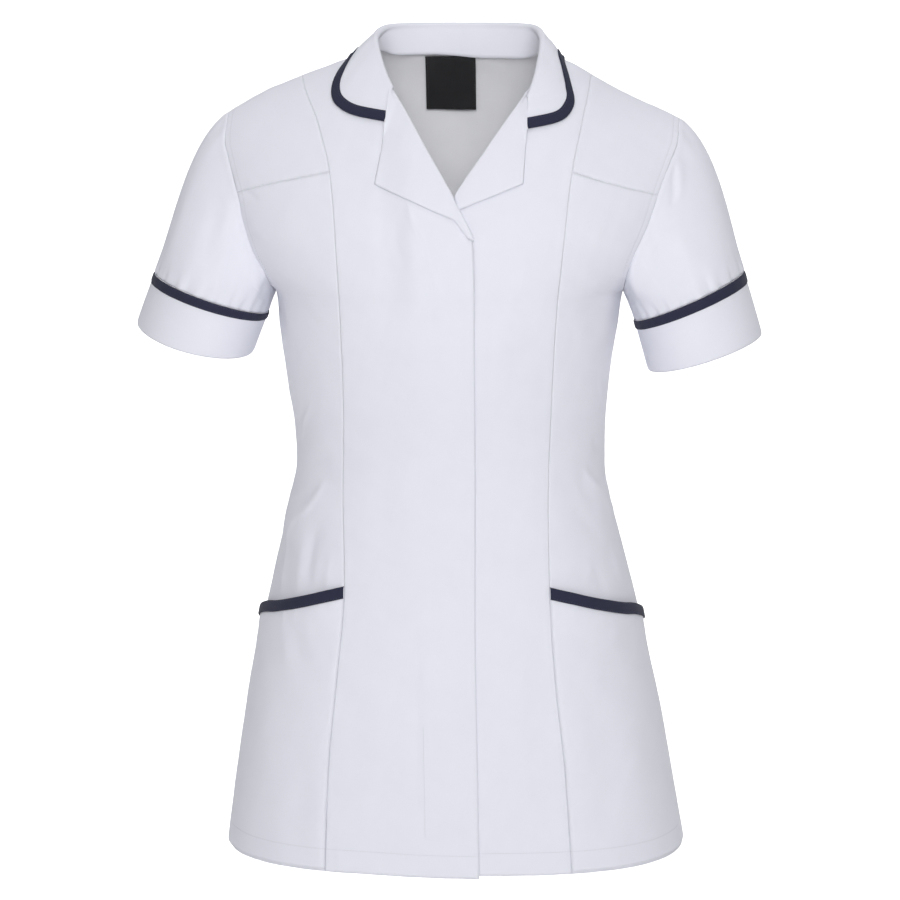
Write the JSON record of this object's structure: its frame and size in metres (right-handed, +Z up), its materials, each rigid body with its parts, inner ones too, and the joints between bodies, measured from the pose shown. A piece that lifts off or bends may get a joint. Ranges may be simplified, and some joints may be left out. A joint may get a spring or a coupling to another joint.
{
  "type": "medical tunic",
  "caption": "Short-sleeved fitted white tunic as worn: revere collar with dark binding, lapels, front yokes, curved hip pockets, cuffed sleeves, open neck and hem.",
  "frame": {"origin": "midway between the shoulders, at the height of the shoulder seams beside the neck", "axes": "+Z up, +Y to the back, the front faces -Y, the wearer's right on the -X side"},
  "size_m": [0.5619, 0.2878, 0.7431],
  "materials": {
    "white_cloth": "matte woven polyester and cotton, white with a cool tint",
    "dark_binding": "matte woven, very dark navy",
    "label_cloth": "black woven label, bare"
  },
  "bodies": {
    "root": {"back": "white_cloth", "front_centre_right": "white_cloth", "front_centre_left": "white_cloth", "side_front_right": "white_cloth", "side_front_left": "white_cloth", "front_yoke_right": "white_cloth", "front_yoke_left": "white_cloth", "sleeve_right": "white_cloth", "sleeve_left": "white_cloth", "cuff_right": "white_cloth", "cuff_left": "white_cloth", "cuff_strip_right": "dark_binding", "cuff_strip_left": "dark_binding", "collar": "white_cloth", "collar_binding": "dark_binding", "lapel_right": "white_cloth", "lapel_left": "white_cloth", "pocket_right": "white_cloth", "pocket_left": "white_cloth", "pocket_binding_right": "dark_binding", "pocket_binding_left": "dark_binding", "neck_label": "label_cloth"}
  },
  "joints": []
}
